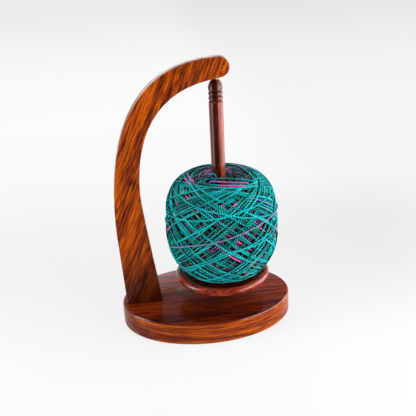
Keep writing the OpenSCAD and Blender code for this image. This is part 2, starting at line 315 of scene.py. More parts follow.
glow = put(tree, "ShaderNodeEmission", None, {"Color": paler, "Strength": level})
rays = put(tree, "ShaderNodeLightPath")
seen = worked(tree, "MAXIMUM", rays.outputs["Is Camera Ray"], rays.outputs["Is Transmission Ray"])
share = worked(tree, "MULTIPLY", seen, ranged(tree, reach, 0.2, 0.9, floor_share, 0.94))
both = layered(tree, share, sheet.outputs[0], glow.outputs[0])
dim = put(tree, "ShaderNodeEmission", None, {"Color": paler, "Strength": floor_mirrored})
in_front = ranged(tree, reach, -0.12, 0.08, 1.0, 0.0)
dimmed = worked(tree, "MULTIPLY", rays.outputs["Is Glossy Ray"], in_front)
mirrored = layered(tree, dimmed, both, dim.outputs[0])
close = worked(tree, "LESS_THAN", rays.outputs["Ray Length"], underside_reach)
turned_back = worked(tree, "MAXIMUM", rays.outputs["Is Diffuse Ray"], rays.outputs["Is Glossy Ray"])
to_underside = worked(tree, "MULTIPLY", turned_back, close)
under = put(tree, "ShaderNodeNewGeometry").outputs["Backfacing"]
clear = put(tree, "ShaderNodeBsdfTransparent")
one_sided = layered(tree, worked(tree, "MAXIMUM", under, to_underside), mirrored, clear.outputs[0])
feed(tree, tree.nodes["Material Output"].inputs["Surface"], one_sided)
floor.data.materials.append(paper)
floor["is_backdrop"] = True

# %% [markdown]
# Rosewood has long streaks of orange, brown and near black that follow the tree. The figure is
# one shader group that every board shares. It reads a position whose first direction runs
# along the grain and is shortened, so that noise made there is drawn out into streaks. Broad
# noise gives the bands, finer noise the streaks and veins, and the finest the pores.

# %% The figure of rosewood
figure, given, result = socketed(
    "rosewood_figure",
    {"Vector": "Vector", "Dark": "Color", "Middle": "Color", "Light": "Color",
     "Veins": "Float", "Shade": "Float"},
    {"Color": "Color", "Roughness": "Float", "Height": "Float"})
along_grain = given.outputs["Vector"]
sway = put(figure, "ShaderNodeTexNoise", None, {"Vector": along_grain, "Scale": 16.0, "Detail": 1.0})
bent = put(figure, "ShaderNodeVectorMath", {"operation": "MULTIPLY_ADD"},
           {0: sway.outputs["Color"], 1: (0.010, 0.030, 0.030), 2: along_grain}).outputs[0]
band = noise(figure, bent, 50.0, 2.0)
streak = noise(figure, bent, 210.0, 2.5, 0.60, 0.4)
thread = noise(figure, bent, 850.0, 1.5, 0.6)
tone = worked(figure, "ADD", worked(figure, "MULTIPLY", band, 0.30),
              worked(figure, "ADD", worked(figure, "MULTIPLY", streak, 0.36),
                     worked(figure, "MULTIPLY", thread, 0.34)))
low_mix = mixed(figure, ranged(figure, tone, 0.41, 0.51),
                given.outputs["Dark"], given.outputs["Middle"])
high_mix = mixed(figure, ranged(figure, tone, 0.48, 0.58), low_mix, given.outputs["Light"])
vein = ranged(figure, noise(figure, bent, 420.0, 2.0, 0.55, 0.6), 0.54, 0.64)
vein_share = worked(figure, "MULTIPLY", vein, given.outputs["Veins"])
veined = mixed(figure, vein_share, high_mix, colour(52, 16, 8))
pore = noise(figure, along_grain, 1900.0, 2.0)
pore_shade = ranged(figure, pore, 0.30, 0.70, 0.82, 1.10)
shade = worked(figure, "MULTIPLY", pore_shade, given.outputs["Shade"])
shaded = put(figure, "ShaderNodeVectorMath", {"operation": "SCALE"}, {0: veined, "Scale": shade})
feed(figure, result.inputs["Color"], shaded.outputs[0])
feed(figure, result.inputs["Roughness"], ranged(figure, streak, 0.35, 0.65, 0.42, 0.30))
feed(figure, result.inputs["Height"], worked(figure, "SUBTRACT", pore, vein_share))
print("rosewood_figure has", len(figure.nodes), "nodes")


# %% [markdown]
# Each board is cut and finished in its own way, so each has its own material: the grain's
# direction, three colours, how strong the veins are, and where the board is darker, which on
# some boards is painted shade. The varnish is a clear coat over the wood. A Mapping node of the
# Texture kind first turns a position into the grain's directions and then divides it, which
# draws the figure out along the grain.

# %% Varnished wood
def varnished(name, turn, stretch, dark, middle, light, veins, coat_roughness, coat_ior):
    """A varnished board. Its figure's sockets are returned, so that a board can vary in places."""
    material, tree, shader = new_material(name)
    place = put(tree, "ShaderNodeTexCoord").outputs["Object"]
    grain = put(tree, "ShaderNodeMapping", {"vector_type": "TEXTURE"},
                {"Vector": place, "Rotation": turn, "Scale": stretch})
    wood = put(tree, "ShaderNodeGroup", {"node_tree": figure},
               {"Vector": grain.outputs[0], "Dark": dark, "Middle": middle, "Light": light,
                "Veins": veins, "Shade": 1.0})
    feed(tree, shader.inputs["Base Color"], wood.outputs["Color"])
    feed(tree, shader.inputs["Roughness"], wood.outputs["Roughness"])
    bumped(tree, shader, wood.outputs["Height"], 0.12, 0.05 * MM)
    shader.inputs["Specular IOR Level"].default_value = 0.05
    shader.inputs["Coat Weight"].default_value = 1.0
    shader.inputs["Coat Roughness"].default_value = coat_roughness
    shader.inputs["Coat IOR"].default_value = coat_ior
    return tree, place, wood.inputs, material


def along_axis(tree, place, axis):
    """One coordinate of a position."""
    return put(tree, "ShaderNodeSeparateXYZ", None, {0: place}).outputs[axis]


# %% [markdown]
# The arm is cut from a plank whose grain leans. It is darker and duller towards its foot, and a
# little darker in its bow. Four knots darken it too: one halfway up, one in the bow, and two
# small ones in the nose. Each is given as a pixel, its reach in millimetres and its darkest shade.

# %% The arm's wood
arm_light = colour(208, 94, 4)
foot_light = colour(150, 70, 38)
bow_z = 205 * MM
tree, place, wood, arm_wood = varnished(
    "arm_rosewood", turn=(0, math.radians(-66), 0), stretch=(17.0, 0.8, 0.8),
    dark=colour(82, 26, 10), middle=colour(146, 55, 7), light=arm_light,
    veins=0.60, coat_roughness=0.06, coat_ior=1.42)
knots = (((131, 183), 8.0, 0.35), ((181, 72), 7.0, 0.5), ((224, 64), 2.4, 0.5), ((221, 74), 2.6, 0.5))
height = along_axis(tree, place, "Z")
from_bow = worked(tree, "ABSOLUTE", worked(tree, "SUBTRACT", height, bow_z))
shade = worked(tree, "MULTIPLY", ranged(tree, height, 20 * MM, 120 * MM, 0.28, 1.06),
               ranged(tree, from_bow, 20 * MM, 80 * MM, 0.88, 1.0))
for pixel, reach, darkest in knots:
    middle = tuple(seen_at(pixel, 1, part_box("arm")[0].y))
    away = put(tree, "ShaderNodeVectorMath", {"operation": "DISTANCE"}, {0: place, 1: middle})
    knot = ranged(tree, away.outputs["Value"], 0.8 * MM, reach * MM, darkest, 1.0)
    shade = worked(tree, "MULTIPLY", shade, knot)
feed(tree, wood["Shade"], shade)
above_foot = ranged(tree, height, 30 * MM, 100 * MM)
feed(tree, wood["Light"], mixed(tree, above_foot, foot_light, arm_light))

# %% [markdown]
# The base lies flat, with its grain along it. Its side draws the figure out across the board
# as well, so that the oval shows long fine lines all the way round. Its top has redder colours
# than its side and is painted darker, most of all in front: painted shadow and reflection of the
# disc and the ball above it. The left end of its side is painted darker, as shade. The spindle
# and the disc are turned from a darker and redder piece. A dark streak runs down the spindle,
# partly its grain and partly painted shade, and its right side and left edge are painted lighter,
# as painted light. Its head is painted darker, as shade under the arm, and the disc's dish is
# painted darker than its rim, as the ball's shadow in it.

# %% The wood of the base, the spindle and the disc
side_middle = colour(146, 57, 14)
side_light = colour(212, 102, 14)
side_stretch = (20.0, 8.0, 0.45)
top_stretch = (22.0, 1.5, 0.8)
base_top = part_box("base")[1].z
tree, place, wood, base_wood = varnished(
    "base_rosewood", turn=(0, 0, 0), stretch=side_stretch,
    dark=colour(92, 29, 12), middle=side_middle, light=side_light,
    veins=0.34, coat_roughness=0.06, coat_ior=1.42)
on_top = ranged(tree, along_axis(tree, place, "Z"), base_top - 2.5 * MM, base_top - 0.2 * MM)
feed(tree, wood["Middle"], mixed(tree, on_top, side_middle, colour(140, 44, 16)))
feed(tree, wood["Light"], mixed(tree, on_top, side_light, colour(198, 74, 22)))
feed(tree, tree.nodes["Mapping"].inputs["Scale"],
     mixed(tree, on_top, (*side_stretch, 1.0), (*top_stretch, 1.0)))
# Painted shadow and reflection: the top darker in front, under the disc and the ball. Painted shade:
# the left end of the side darker.
off_middle = worked(tree, "ABSOLUTE", along_axis(tree, place, "X"))
to_back = worked(tree, "ADD", along_axis(tree, place, "Y"), worked(tree, "MULTIPLY", off_middle, 0.2))
side_shade = ranged(tree, along_axis(tree, place, "X"), -100 * MM, -55 * MM, 0.62, 1.12)
top_shade = ranged(tree, to_back, -40 * MM, 30 * MM, 0.28, 0.86)
feed(tree, wood["Shade"], between(tree, on_top, side_shade, top_shade))

low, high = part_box("spindle")
axis_x = (low.x + high.x) / 2
tree, place, wood, spindle_wood = varnished(
    "spindle_rosewood", turn=(0, math.radians(-90), 0), stretch=(13.0, 1.0, 1.0),
    dark=colour(88, 25, 12), middle=colour(136, 47, 24), light=colour(176, 73, 40),
    veins=0.3, coat_roughness=0.10, coat_ior=1.5)
sideways = along_axis(tree, place, "X")
# Painted light and shade over a real dark streak: darker left of the axis, lighter on the right side
# and at the left edge, as the lamps light them.
streak_and_right_light = ranged(tree, sideways, axis_x - 0.5 * MM, axis_x + 2.5 * MM, 0.20, 1.1)
left_edge_light = ranged(tree, sideways, axis_x - 5.5 * MM, axis_x - 3.0 * MM, 0.7, 0.0)
# Painted shade: the head darker, under the arm.
head = ranged(tree, along_axis(tree, place, "Z"), high.z - 25 * MM, high.z - 20 * MM, 1.0, 0.45)
streak_and_painted_light = worked(tree, "ADD", streak_and_right_light, left_edge_light)
feed(tree, wood["Shade"], worked(tree, "MULTIPLY", streak_and_painted_light, head))

tree, place, wood, disc_wood = varnished(
    "disc_rosewood", turn=(0, 0, math.radians(25)), stretch=(14.0, 2.5, 2.0),
    dark=colour(94, 21, 10), middle=colour(138, 41, 20), light=colour(174, 64, 32),
    veins=0.2, coat_roughness=0.20, coat_ior=1.5)
rim_r = (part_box("disc")[1].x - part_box("disc")[0].x) / 2
level_place = put(tree, "ShaderNodeVectorMath", {"operation": "MULTIPLY_ADD"},
                  {0: place, 1: (1.0, 1.0, 0.0), 2: (-axis_x, 0.0, 0.0)}).outputs[0]
reach = put(tree, "ShaderNodeVectorMath", {"operation": "LENGTH"}, {0: level_place}).outputs["Value"]
# Painted shadow: the dish darker than the rim, where the ball stands in it.
feed(tree, wood["Shade"], ranged(tree, reach, rim_r - 8 * MM, rim_r - 4 * MM, 0.30, 1.0))
# A shaded copy of the disc's wood for the dish, with little varnish shine: painted shade.
shaded_dish_wood = disc_wood.copy()
shaded_dish_wood.name = "shaded_dish_rosewood"
shaded_dish_wood.node_tree.nodes["Principled BSDF"].inputs["Coat Weight"].default_value = 0.15

# %% [markdown]
# The screws are plain steel, the pivot's ball is polished steel and the magnets are nickel
# plated. All are metal with fine marks in their roughness. The marks come from one small group,
# stretched for the drawn steel.

# %% Metal
marks, given, result = socketed("fine_marks", {"Vector": "Vector", "Low": "Float", "High": "Float"},
                                {"Roughness": "Float", "Height": "Float"})
mark = noise(marks, given.outputs["Vector"], 900.0, 4.0, 0.6)
feed(marks, result.inputs["Roughness"],
     ranged(marks, mark, 0.35, 0.65, given.outputs["Low"], given.outputs["High"]))
feed(marks, result.inputs["Height"], mark)


def metal(name, tint, low, high, stretch):
    """A bare or plated metal with fine marks."""
    material, tree, shader = new_material(name)
    place = put(tree, "ShaderNodeTexCoord").outputs["Object"]
    drawn = put(tree, "ShaderNodeMapping", {"vector_type": "TEXTURE"},
                {"Vector": place, "Scale": stretch})
    marked = put(tree, "ShaderNodeGroup", {"node_tree": marks},
                 {"Vector": drawn.outputs[0], "Low": low, "High": high})
    cloudy = mixed(tree, noise(tree, place, 300.0), tint, tuple(0.8 * c for c in tint[:3]) + (1.0,))
    shader.inputs["Metallic"].default_value = 1.0
    feed(tree, shader.inputs["Base Color"], cloudy)
    feed(tree, shader.inputs["Roughness"], marked.outputs["Roughness"])
    bumped(tree, shader, marked.outputs["Height"], 0.05, 0.02 * MM)
    return material


steel = metal("steel", colour(196, 196, 200), 0.22, 0.38, (1.0, 1.0, 6.0))
polished_steel = metal("polished_steel", colour(214, 214, 216), 0.05, 0.12, (1.0, 1.0, 1.0))
nickel = metal("nickel", colour(216, 214, 206), 0.12, 0.26, (1.0, 1.0, 1.0))


# %% [markdown]
# The wooden pieces have the right shape in the frame already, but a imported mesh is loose
# triangles, which shade flat. So a copy is made, its doubles are merged, and it is shaded
# smooth except at real edges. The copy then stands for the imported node.

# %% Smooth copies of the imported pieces
def only(piece):
    """Selects one object and makes it active, with everything else deselected."""
    bpy.ops.object.select_all(action="DESELECT")
    piece.select_set(True)
    bpy.context.view_layer.objects.active = piece


def smooth_copy(node, name, body, material):
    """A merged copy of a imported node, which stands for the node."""
    piece = linked(name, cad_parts[node].data.copy())
    only(piece)
    bpy.ops.mesh.customdata_custom_splitnormals_clear()
    bpy.ops.object.mode_set(mode="EDIT")
    bpy.ops.mesh.select_all(action="SELECT")
    bpy.ops.mesh.remove_doubles(threshold=0.01 * MM)
    bpy.ops.object.mode_set(mode="OBJECT")
    piece.data.materials.clear()
    piece.data.materials.append(material)
    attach(piece, body)
    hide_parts(node)
    return piece


def smoothed(piece, degrees=30):
    """Shades a piece smooth, but sharp where its faces meet at more than this angle."""
    only(piece)
    bpy.ops.object.shade_smooth_by_angle(angle=math.radians(degrees))
    print(piece.name, "has", len(piece.data.polygons), "faces")


smoothed(smooth_copy("base", "base_board", "stand", base_wood))
smoothed(smooth_copy("arm", "arm_board", "stand", arm_wood))
smoothed(smooth_copy("spindle", "turned_spindle", "spindle", spindle_wood), 24)
turned_disc = smooth_copy("disc", "turned_disc", "spindle", disc_wood)
# The dish's upward faces take the shaded copy.
turned_disc.data.materials.append(shaded_dish_wood)
for face in turned_disc.data.polygons:
    off_axis = math.hypot(face.center.x - axis_x, face.center.y)
    face.material_index = int(face.normal.z > 0 and off_axis < rim_r - 5 * MM)
smoothed(turned_disc, 24)
smoothed(smooth_copy("pivot_ball", "steel_ball", "pivot_ball", polished_steel), 60)
for node in ("arm_magnet", "seat_magnet"):
    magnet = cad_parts[node]
    magnet.data.materials.clear()
    magnet.data.materials.append(nickel)


# %% [markdown]
# A countersunk wood screw is driven through a cross in its head. The cross is cut from below
# with two thin blades, because the heads face down under the base and the disc.

# %% Screws with a cross in their heads
cross_length = 5.0 * MM
cross_width = 1.0 * MM
cross_depth = 2.2 * MM


def cut_cross(piece, x, face_z):
    """Cuts a cross up into the head that lies at x with its flat face at face_z."""
    for turn in (0, 90):
        bpy.ops.object.select_all(action="DESELECT")
        bpy.ops.mesh.primitive_cube_add(size=1, location=(x, 0, face_z),
                                        rotation=(0, 0, math.radians(45 + turn)))
        blade = bpy.context.active_object
        blade.scale = (cross_length, cross_width, 2 * cross_depth)
        bpy.ops.object.transform_apply(location=True, rotation=True, scale=True)
        only(piece)
        cut = piece.modifiers.new("cross", "BOOLEAN")
        cut.object = blade
        cut.operation = "DIFFERENCE"
        bpy.ops.object.modifier_apply(modifier="cross")
        bpy.data.objects.remove(blade)


arm_screws = smooth_copy("arm_screws", "arm_wood_screws", "stand", steel)
low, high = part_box("arm_screws")
head_r = (high.y - low.y) / 2
for x in (low.x + head_r, high.x - head_r):
    cut_cross(arm_screws, x, low.z)
smoothed(arm_screws)
disc_screw = smooth_copy("disc_screw", "disc_wood_screw", "spindle", steel)
low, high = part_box("disc_screw")
cut_cross(disc_screw, (low.x + high.x) / 2, low.z)
smoothed(disc_screw)

# %% [markdown]
# The ball of yarn is wound on a winder: one strand runs up and down over the ball in slanting
# passes while the ball turns, so that rising and falling passes cross. Its outline is two
# cubic curves, from the underside over the widest place to the crest. The strand's depth
# below that outline decides which pass lies on top where two cross.

# %% The ball's outline
seat_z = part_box("yarn_core")[0].z
foot_r = 30.0 * MM
ball_r = 64.8 * MM
crest_r = 26.0 * MM
hole_r = 12.0 * MM
widest_z = seat_z + 64.7 * MM
crest_z = seat_z + 122.2 * MM
ball_x = axis_x + 1.7 * MM
ball_middle = np.array([ball_x, 0.0, widest_z])
lower_curve = np.array([[foot_r, seat_z + 3.0 * MM], [foot_r + 25 * MM, seat_z + 5.6 * MM],
                        [ball_r, widest_z - 37.5 * MM], [ball_r, widest_z]])
upper_curve = np.array([[ball_r, widest_z], [ball_r, widest_z + 38 * MM],
                        [crest_r + 27 * MM, crest_z], [crest_r, crest_z]])


def cubic(p, t):
    """Points on a cubic curve, one for each t."""
    t = np.asarray(t)[:, None]
    return ((1 - t) ** 3 * p[0] + 3 * (1 - t) ** 2 * t * p[1]
            + 3 * (1 - t) * t ** 2 * p[2] + t ** 3 * p[3])


def skin(v):
    """Radius and height on the ball's outline, from its underside (0) to its crest (1)."""
    v = np.asarray(v, float)
    return np.where(v[:, None] < 0.5, cubic(lower_curve, 2 * v), cubic(upper_curve, 2 * v - 1))


def below_skin(v, depth):
    """Radius and height at a depth below the ball's outline."""
    v = np.asarray(v, float)
    run = skin(v + 0.002) - skin(v - 0.002)
    run /= np.linalg.norm(run, axis=1)[:, None]
    out = np.stack([run[:, 1], -run[:, 0]], axis=1)
    return skin(v) - np.asarray(depth)[..., None] * out


print("ball from", round(seat_z, 4), "to", round(crest_z, 4), "about x", round(ball_x, 4))

# %% [markdown]
# A path is measured out in even steps, because the tube's rings and the twist of its plies
# need an even spacing. Points are first made far apart or close as the formula gives them,
# and then new ones are read off at equal lengths along the line.

# %% Even steps along a path
def evened(points, step, *extra):
    """The path at equal steps, the length run at each point, and what goes with the points."""
    runs = np.linalg.norm(np.diff(points, axis=0), axis=1)
    length = np.concatenate([[0.0], np.cumsum(runs)])
    at = np.linspace(0.0, length[-1], max(int(length[-1] / step), 8))
    even = np.stack([np.interp(at, length, points[:, i]) for i in range(3)], axis=1)
    return even, at, *[np.interp(at, length, e) for e in extra]


def round_axis(profile, turn):
    """Places a radius and height for each angle about the ball's own axis."""
    return np.stack([ball_x + profile[:, 0] * np.cos(turn), profile[:, 0] * np.sin(turn),
                     profile[:, 1]], axis=1)


# %% [markdown]
# One layer of the winding is one unbroken line. A wave carries it up and down between turning
# places that differ a little from pass to pass, and each pass drifts a little round the ball, as
# on a real winder. Where two passes cross, a pattern over the ball says which of them lies on
# top, by one lay, so that neither direction covers the other everywhere. A few passes lie higher
# than these, as the last ones wound do. The steps between heights are softened, because yarn
# bends gently, and the outer layer is moved outwards until its highest passes stand proud.

# %% The path of a wound layer
strand_d = 2.15 * MM
lay = 1.6 * MM
proud = 1.2 * MM
fine_steps = 480
low_turns = (0.01, 0.09)
high_turns = (0.91, 0.97)
usual_drift = math.radians(2.4)
soft_steps = 21


def wave(angle):
    """Rises and falls between about -0.91 and 0.91, nearly straight between its turns."""
    return 0.2 * np.sin(angle) + 1.6 * np.arcsin(0.985 * np.sin(angle)) / np.pi


def winding(cycles, turns, first_depth, last_wound, seed):
    """The line of one layer, with its depth below the ball's outline."""
    draw = np.random.default_rng(seed)
    share = (np.arange(cycles * fine_steps) + 0.5) / fine_steps
    half = np.floor(2 * share).astype(int)
    ends = np.empty(2 * cycles + 1)
    ends[0::2] = draw.uniform(*low_turns, cycles + 1)
    ends[1::2] = draw.uniform(*high_turns, cycles)
    first, last = ends[half], ends[half + 1]
    v = (first + last) / 2 + np.abs(last - first) / 2 * wave(2 * np.pi * share - np.pi / 2)
    drift = draw.normal(0.0, usual_drift, 2 * cycles + 1)
    part = 2 * share - half
    ease = part * part * (3 - 2 * part)
    turn = 2 * np.pi * share * turns / cycles + drift[half] * (1 - ease) + drift[half + 1] * ease
    over = np.tanh(3 * (np.sin(6 * turn + 14 * v) + np.sin(5 * turn - 17 * v + 1)))
    rising = np.where(half % 2 == 0, 1.0, -1.0)
    on_top = draw.random(2 * cycles)[half] < last_wound
    depth = first_depth + strand_d / 2 + lay * np.where(on_top, 0.35, 1.5 - 0.5 * rising * over)
    soft = np.hanning(soft_steps)
    depth = np.convolve(np.pad(depth, soft_steps // 2, mode="edge"), soft / soft.sum(), mode="valid")
    return round_axis(below_skin(v, depth), turn), depth


# %% [markdown]
# Yarn is spun from plies that turn round each other. So the strand isn't a round tube: its
# section has two lobes, and each ring is turned a little further than the last. The frame
# that carries the rings is passed on from ring to ring without a twist of its own. Four
# values are kept on the points for the material: the length run, the depth, the lobes, and how
# far a point faces away from the ball, because a strand's flanks lie in its neighbours' shade.

# %% A plied strand along a path
ply_pitch = 5.6 * MM
ply_reach = 1.08
ply_height = 0.18


def plied_strand(name, path, along, depth, radius, sides, outwards=None):
    """A tube with two twisted lobes along a path, closed at both ends."""
    if outwards is None:
        outwards = path - ball_middle
        outwards /= np.linalg.norm(outwards, axis=1)[:, None]
    run = np.gradient(path, axis=0)
    run /= np.linalg.norm(run, axis=1)[:, None]
    out = np.empty_like(run)
    out[0] = np.cross(run[0], (0.1, 0.2, 1.0))
    for k in range(len(path)):
        held = out[max(k - 1, 0)]
        held = held - held.dot(run[k]) * run[k]
        out[k] = held / math.sqrt(held.dot(held))
    across = np.cross(run, out)
    angle = 2 * np.pi * np.arange(sides) / sides
    lobe = 2 * np.abs(np.cos(angle)) - 1
    reach = radius * (ply_reach - ply_height + ply_height * lobe)
    facing = angle[None, :] + 2 * np.pi * along[:, None] / ply_pitch
    sideways = (np.cos(facing)[..., None] * out[:, None, :]
                + np.sin(facing)[..., None] * across[:, None, :])
    points = path[:, None, :] + reach[None, :, None] * sideways
    crown = 0.5 + 0.5 * np.sum(sideways * outwards[:, None, :], axis=2)
    ring = np.arange(len(path) - 1)[:, None] * sides
    j = np.arange(sides)[None, :]
    following = (j + 1) % sides
    quads = np.stack([ring + j, ring + following, ring + sides + following, ring + sides + j], axis=2)
    faces = quads.reshape(-1, 4).tolist()
    last = (len(path) - 1) * sides
    faces += [list(range(sides))[::-1], list(range(last, last + sides))]
    mesh = bpy.data.meshes.new(name)
    mesh.from_pydata(points.reshape(-1, 3).tolist(), [], faces)
    for word, values in (("along", np.repeat(along, sides)), ("depth", np.repeat(depth, sides)),
                         ("ply", np.tile((lobe + 1) / 2, len(path))), ("crown", crown.ravel())):
        kept = mesh.attributes.new(word, "FLOAT", "POINT")
        kept.data.foreach_set("value", values.astype(np.float32))
    piece = linked(name, mesh)
    only(piece)
    bpy.ops.object.shade_smooth()
    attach(piece, "yarn")
    print(name, "runs", round(float(along[-1] - along[0]), 2), "m in", len(faces), "faces")
    return piece


# %% [markdown]
# The yarn is dyed in lengths: mostly teal, with stretches of green, blue, pink and lavender.
# So the colour follows the length run along the strand. One group mixes it, and each yarn
# material says how much of the pink and lavender shows. Deep strands are painted in shadow, the
# grooves between plies are painted darker than their backs, and the flanks darker than the
# crowns: all painted shade.

# %% The dyed yarn
dye, given, result = socketed(
    "dyed_yarn",
    {"Teal": "Color", "Bright": "Color", "Purple": "Color", "Pink": "Float", "Lavender": "Float"},
    {"Color": "Color", "Height": "Float"})


def kept_value(tree, word):
    """A value that the strand's points carry."""
    return put(tree, "ShaderNodeAttribute", {"attribute_name": word}).outputs["Fac"]


def dyed_lengths(tree, along, per_metre, offset):
    """A noise that changes along the yarn, so many times in a metre."""
    place = worked(tree, "ADD", worked(tree, "MULTIPLY", along, per_metre), offset)
    return put(tree, "ShaderNodeTexNoise", {"noise_dimensions": "1D"},
               {"W": place, "Scale": 1.0, "Detail": 2.0}).outputs[0]


along = kept_value(dye, "along")
deep = ranged(dye, kept_value(dye, "depth"), 0.5 * MM, 6.0 * MM)
ply = kept_value(dye, "ply")
flank = ranged(dye, kept_value(dye, "crown"), 0.53, 0.90, 0.20, 1.12)
shift = ranged(dye, dyed_lengths(dye, along, 14.0, 3.0), 0.32, 0.68)
teal = mixed(dye, shift, given.outputs["Teal"], given.outputs["Bright"])
leafy = worked(dye, "MULTIPLY", ranged(dye, dyed_lengths(dye, along, 5.0, 41.0), 0.46, 0.56),
               ranged(dye, deep, 0.0, 0.5, 0.10, 0.9))
teal = mixed(dye, leafy, teal, colour(4, 146, 84))
lift = worked(dye, "MULTIPLY", deep, 0.10)
pinkness = worked(dye, "ADD", dyed_lengths(dye, along, 15.0, 97.0),
                  worked(dye, "ADD", lift, given.outputs["Pink"]))
pink_share = ranged(dye, pinkness, 0.62, 0.66)
dyed = mixed(dye, pink_share, teal, colour(236, 100, 186))
purpleness = worked(dye, "ADD", dyed_lengths(dye, along, 5.0, 160.0),
                    worked(dye, "ADD", lift, given.outputs["Lavender"]))
dyed = mixed(dye, ranged(dye, purpleness, 0.62, 0.66), dyed, given.outputs["Purple"])
fibre = noise(dye, put(dye, "ShaderNodeTexCoord").outputs["Object"], 1500.0, 3.0, 0.7)
# Painted shade: darker the deeper a strand lies, though pink less so, and darker in the ply grooves and
# on the flanks.
sunk = worked(dye, "MAXIMUM", ranged(dye, deep, 0.0, 1.0, 1.0, 0.22),
              worked(dye, "MULTIPLY", pink_share, 0.85))
lit = worked(dye, "MULTIPLY", worked(dye, "MULTIPLY", ranged(dye, ply, 0.0, 1.0, 0.45, 1.22), flank),
             worked(dye, "MULTIPLY", sunk, ranged(dye, fibre, 0.3, 0.7, 0.84, 1.16)))
shaded = put(dye, "ShaderNodeVectorMath", {"operation": "SCALE"}, {0: dyed, "Scale": lit})
feed(dye, result.inputs["Color"], shaded.outputs[0])
feed(dye, result.inputs["Height"], fibre)


def yarn_material(name, teal, bright, purple, pink, lavender):
    """Soft spun yarn of the given dyes."""
    material, tree, shader = new_material(name)
    mix = put(tree, "ShaderNodeGroup", {"node_tree": dye},
              {"Teal": teal, "Bright": bright, "Purple": purple, "Pink": pink,
               "Lavender": lavender})
    feed(tree, shader.inputs["Base Color"], mix.outputs["Color"])
    bumped(tree, shader, mix.outputs["Height"], 0.5, 0.2 * MM)
    shader.inputs["Roughness"].default_value = 0.85
    shader.inputs["Specular IOR Level"].default_value = 0.12
    shader.inputs["Sheen Weight"].default_value = 0.08
    shader.inputs["Sheen Roughness"].default_value = 0.4
    return material


deep_teal = colour(0, 106, 112)
bright_teal = colour(22, 196, 200)
plum = colour(140, 96, 186)
lilac = colour(186, 160, 214)
deep_blue = colour(30, 76, 124)
pale_blue = colour(84, 138, 190)
teal_yarn = yarn_material("teal_yarn", deep_teal, bright_teal, plum, -0.10, -0.15)
last_yarn = yarn_material("last_yarn", colour(0, 146, 148), bright_teal, plum, -0.3, -0.3)
inner_dyes = yarn_material("inner_yarn", colour(0, 128, 96), colour(0, 176, 140), plum, 0.06, -0.12)
crater_yarn = yarn_material("crater_yarn", deep_blue, pale_blue, lilac, -0.04, 0.06)
lavender_yarn = yarn_material("lavender_yarn", deep_teal, bright_teal, colour(160, 148, 198), -0.3, 0.6)
pink_yarn = yarn_material("pink_yarn", deep_teal, bright_teal, lilac, 0.13, 0.0)
lilac_yarn = yarn_material("lilac_yarn", deep_teal, bright_teal, colour(188, 122, 186), 0.14, 0.12)
blue_yarn = yarn_material("blue_yarn", colour(0, 136, 170), colour(0, 170, 205), lilac, -0.3, -0.3)

# %% [markdown]
# Two layers are wound, an outer and an inner one. The outer one is close work with eight sides
# to a ring, and it is cut into five equal lengths, so that no piece grows too heavy. The inner
# one is seen only through the gaps.

# %% The wound layers
outer_step = 0.8 * MM
inner_step = 2.0 * MM

points, depth = winding(cycles=57, turns=68, first_depth=-proud, last_wound=0.08, seed=5)
path, along, depth = evened(points, outer_step, depth)
lengths = 5
cuts = [len(path) * i // lengths for i in range(lengths + 1)]
for i in range(lengths):
    part = slice(cuts[i], min(cuts[i + 1] + 1, len(path)))
    strand = plied_strand(f"wound_yarn_{i + 1}", path[part], along[part], depth[part],
                          strand_d / 2, 8)
    strand.data.materials.append(teal_yarn)
    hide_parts("yarn_winding")

points, depth = winding(cycles=61, turns=72, first_depth=1.6 * lay - proud, last_wound=0.0, seed=11)
path, along, depth = evened(points, inner_step, depth)
inner_yarn = plied_strand("wound_yarn_inner", path, along, depth, strand_d / 2, 6)
inner_yarn.data.materials.append(inner_dyes)

# %% [markdown]
# Inside the layers the yarn is imported solid, so the core is one turned solid. Its outline is
# drawn as a chain of edges and spun round the spindle's axis, which leaves the hole open. Its
# near-black colours are painted shadow of the yarn deep in the ball.

# %% The imported core
core_depth = 4 * lay + 0.2 * MM
core_shares = np.linspace(0.10, 0.84, 26)
core_profile = [(hole_r, seat_z + 0.2 * MM), (foot_r - 12 * MM, seat_z + 0.2 * MM)]
core_profile += [tuple(p) for p in below_skin(core_shares, core_depth)]
core_profile += [(26 * MM, crest_z - 12 * MM), (18 * MM, crest_z - 15 * MM),
                 (hole_r, crest_z - 24 * MM)]

mesh = bpy.data.meshes.new("packed_yarn")
mesh.from_pydata([(axis_x + r, 0.0, z) for r, z in core_profile],
                 [(i, (i + 1) % len(core_profile)) for i in range(len(core_profile))], [])
core = linked("packed_yarn", mesh)
only(core)
bpy.ops.object.mode_set(mode="EDIT")
bpy.ops.mesh.select_all(action="SELECT")
bpy.ops.mesh.spin(steps=72, angle=2 * math.pi, center=(axis_x, 0, 0), axis=(0, 0, 1))
bpy.ops.mesh.select_all(action="SELECT")
bpy.ops.mesh.remove_doubles(threshold=0.001 * MM)
bpy.ops.mesh.normals_make_consistent(inside=False)
bpy.ops.object.mode_set(mode="OBJECT")
bpy.ops.object.shade_smooth()

# Painted shadow: the core is coloured near black, dark teal and dark purple, as yarn deep in the ball
# in shade.
shadowed_core_yarn, tree, shader = new_material("packed_yarn")
place = put(tree, "ShaderNodeTexCoord").outputs["Object"]
strands = noise(tree, place, 380.0, 3.0, 0.6, 1.5)
painted_shadow_mix = mixed(tree, ranged(tree, strands, 0.4, 0.6), colour(3, 28, 28), colour(6, 66, 58))
shadowed_core_colour = mixed(tree, ranged(tree, noise(tree, place, 70.0), 0.5, 0.62), painted_shadow_mix, colour(40, 22, 56))
feed(tree, shader.inputs["Base Color"], shadowed_core_colour)
bumped(tree, shader, strands, 0.8, 0.6 * MM)
shader.inputs["Roughness"].default_value = 0.95
core.data.materials.append(shadowed_core_yarn)
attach(core, "yarn")
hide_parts("yarn_core")
print("core has", len(core.data.polygons), "faces")

